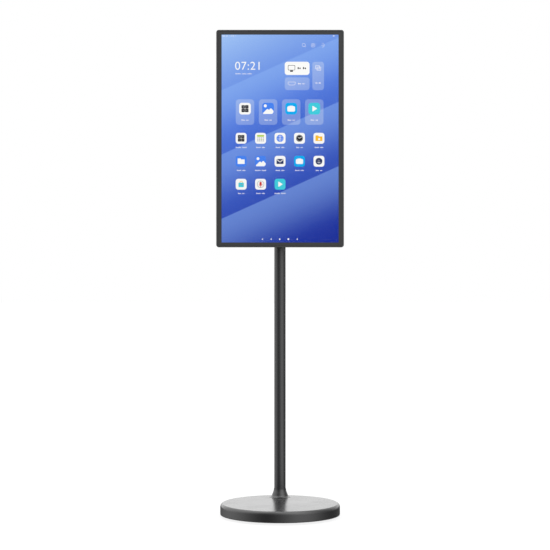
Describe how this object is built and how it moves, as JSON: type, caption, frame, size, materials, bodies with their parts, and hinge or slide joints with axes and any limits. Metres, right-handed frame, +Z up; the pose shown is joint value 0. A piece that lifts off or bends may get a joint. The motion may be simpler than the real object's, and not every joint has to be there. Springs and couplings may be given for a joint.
{
  "type": "touchscreen kiosk",
  "caption": "Upright touch display on a rolling stand: round weighted base on hidden casters, telescopic pole, and a neck that swivels, tilts and turns the screen.",
  "frame": {"origin": "on the floor under the centre of the round base", "axes": "+Z up, the screen faces -Y, +X to the right of someone looking at the screen"},
  "size_m": [0.4284, 0.4, 1.6288],
  "materials": {
    "base_cover_paint": "satin powder coat, dark grey",
    "pan_plastic": "moulded black plastic",
    "ballast_iron": "cast iron",
    "zinc_steel": "zinc plated steel",
    "black_steel": "black oxide steel",
    "pole_paint": "satin powder coat, dark grey",
    "inner_tube_metal": "dark anodised aluminium",
    "bush_plastic": "acetal, black",
    "battery_wrap": "shrink wrap, dark blue",
    "circuit_board": "solder mask, green",
    "light_pipe": "frosted clear",
    "wheel_rubber": "grey rubber",
    "housing_paint": "satin coat, dark grey",
    "frame_plastic": "fine texture, dark grey",
    "cover_plastic": "fine texture, dark grey",
    "front_glass": "cover glass with a printed border",
    "screen": "lit display, emissive",
    "white_sheet": "white diffuser",
    "tray_metal": "pressed aluminium",
    "led_white": "white bar with lenses",
    "speaker_black": "black plastic with a paper cone",
    "socket_metal": "nickel plated",
    "key_plastic": "satin black"
  },
  "bodies": {
    "stand": {"base_top_cover": "base_cover_paint", "base_bottom_pan": "pan_plastic", "pan_screws": "zinc_steel", "ballast_plate": "ballast_iron", "battery_pack": "battery_wrap", "charge_board": "circuit_board", "status_light": "light_pipe", "dc_inlet": "pan_plastic", "pole_flange": "black_steel", "flange_screws": "zinc_steel", "outer_tube": "pole_paint", "foot_collar": "base_cover_paint", "guide_bush": "bush_plastic", "gas_spring_cylinder": "black_steel"},
    "mast": {"gas_spring_rod": "zinc_steel", "inner_tube": "inner_tube_metal", "glide_ring": "bush_plastic", "rod_anchor_plug": "zinc_steel", "swivel_spindle": "zinc_steel", "thrust_washer": "bush_plastic", "swivel_nut": "zinc_steel"},
    "neck": {"swivel_housing": "housing_paint", "swivel_cap": "housing_paint", "tilt_pin": "zinc_steel"},
    "tilter": {"tilt_bracket": "housing_paint", "turn_spindle": "zinc_steel", "friction_washer": "bush_plastic", "turn_nut": "zinc_steel"},
    "screen": {"turn_disc": "black_steel", "vesa_plate": "black_steel", "mount_screws": "zinc_steel", "display_frame": "frame_plastic", "touch_glass": "front_glass", "lcd_panel": "screen", "diffuser_plate": "white_sheet", "backlight_tray": "tray_metal", "led_strips": "led_white", "chassis_bracket": "tray_metal", "rear_cover": "cover_plastic", "case_screws": "black_steel", "main_board": "circuit_board", "port_sockets": "socket_metal", "speaker_left": "speaker_black", "speaker_right": "speaker_black", "button_board": "circuit_board"},
    "power_key": {"power_button": "key_plastic"},
    "volume_up_key": {"volume_up_button": "key_plastic"},
    "volume_down_key": {"volume_down_button": "key_plastic"},
    "caster_1": {"caster_fork_1": "housing_paint", "caster_axle_1": "zinc_steel"},
    "wheel_1": {"caster_wheel_1": "wheel_rubber"},
    "caster_2": {"caster_fork_2": "housing_paint", "caster_axle_2": "zinc_steel"},
    "wheel_2": {"caster_wheel_2": "wheel_rubber"},
    "caster_3": {"caster_fork_3": "housing_paint", "caster_axle_3": "zinc_steel"},
    "wheel_3": {"caster_wheel_3": "wheel_rubber"},
    "caster_4": {"caster_fork_4": "housing_paint", "caster_axle_4": "zinc_steel"},
    "wheel_4": {"caster_wheel_4": "wheel_rubber"}
  },
  "joints": [
    {"name": "caster_swivel_1", "type": "hinge", "parent": "stand", "child": "caster_1", "pos_m": [0.09899, 0.09899, 0.03], "axis": [0, 0, 1], "continuous": true},
    {"name": "wheel_roll_1", "type": "hinge", "parent": "caster_1", "child": "wheel_1", "pos_m": [0.09899, 0.10799, 0.013], "axis": [1, 0, 0], "continuous": true},
    {"name": "caster_swivel_2", "type": "hinge", "parent": "stand", "child": "caster_2", "pos_m": [-0.09899, 0.09899, 0.03], "axis": [0, 0, 1], "continuous": true},
    {"name": "wheel_roll_2", "type": "hinge", "parent": "caster_2", "child": "wheel_2", "pos_m": [-0.09899, 0.10799, 0.013], "axis": [1, 0, 0], "continuous": true},
    {"name": "caster_swivel_3", "type": "hinge", "parent": "stand", "child": "caster_3", "pos_m": [-0.09899, -0.09899, 0.03], "axis": [0, 0, 1], "continuous": true},
    {"name": "wheel_roll_3", "type": "hinge", "parent": "caster_3", "child": "wheel_3", "pos_m": [-0.09899, -0.09, 0.013], "axis": [1, 0, 0], "continuous": true},
    {"name": "caster_swivel_4", "type": "hinge", "parent": "stand", "child": "caster_4", "pos_m": [0.09899, -0.09899, 0.03], "axis": [0, 0, 1], "continuous": true},
    {"name": "wheel_roll_4", "type": "hinge", "parent": "caster_4", "child": "wheel_4", "pos_m": [0.09899, -0.09, 0.013], "axis": [1, 0, 0], "continuous": true},
    {"name": "height_slide", "type": "slide", "parent": "stand", "child": "mast", "axis": [0, 0, 1], "range_m": [-0.2, 0]},
    {"name": "screen_swivel", "type": "hinge", "parent": "mast", "child": "neck", "pos_m": [0, 0.15, 1.264], "axis": [0, 0, 1], "range_deg": [-65, 65]},
    {"name": "screen_tilt", "type": "hinge", "parent": "neck", "child": "tilter", "pos_m": [0, 0.1, 1.264], "axis": [-1, 0, 0], "range_deg": [-10, 25]},
    {"name": "screen_turn", "type": "hinge", "parent": "tilter", "child": "screen", "pos_m": [0, 0.065, 1.264], "axis": [0, -1, 0], "range_deg": [0, 90]},
    {"name": "power_press", "type": "slide", "parent": "screen", "child": "power_key", "axis": [0, -1, 0], "range_m": [0, 0.0008], "stiffness_N_per_m": 1500},
    {"name": "volume_up_press", "type": "slide", "parent": "screen", "child": "volume_up_key", "axis": [0, -1, 0], "range_m": [0, 0.0008], "stiffness_N_per_m": 1500},
    {"name": "volume_down_press", "type": "slide", "parent": "screen", "child": "volume_down_key", "axis": [0, -1, 0], "range_m": [0, 0.0008], "stiffness_N_per_m": 1500}
  ]
}
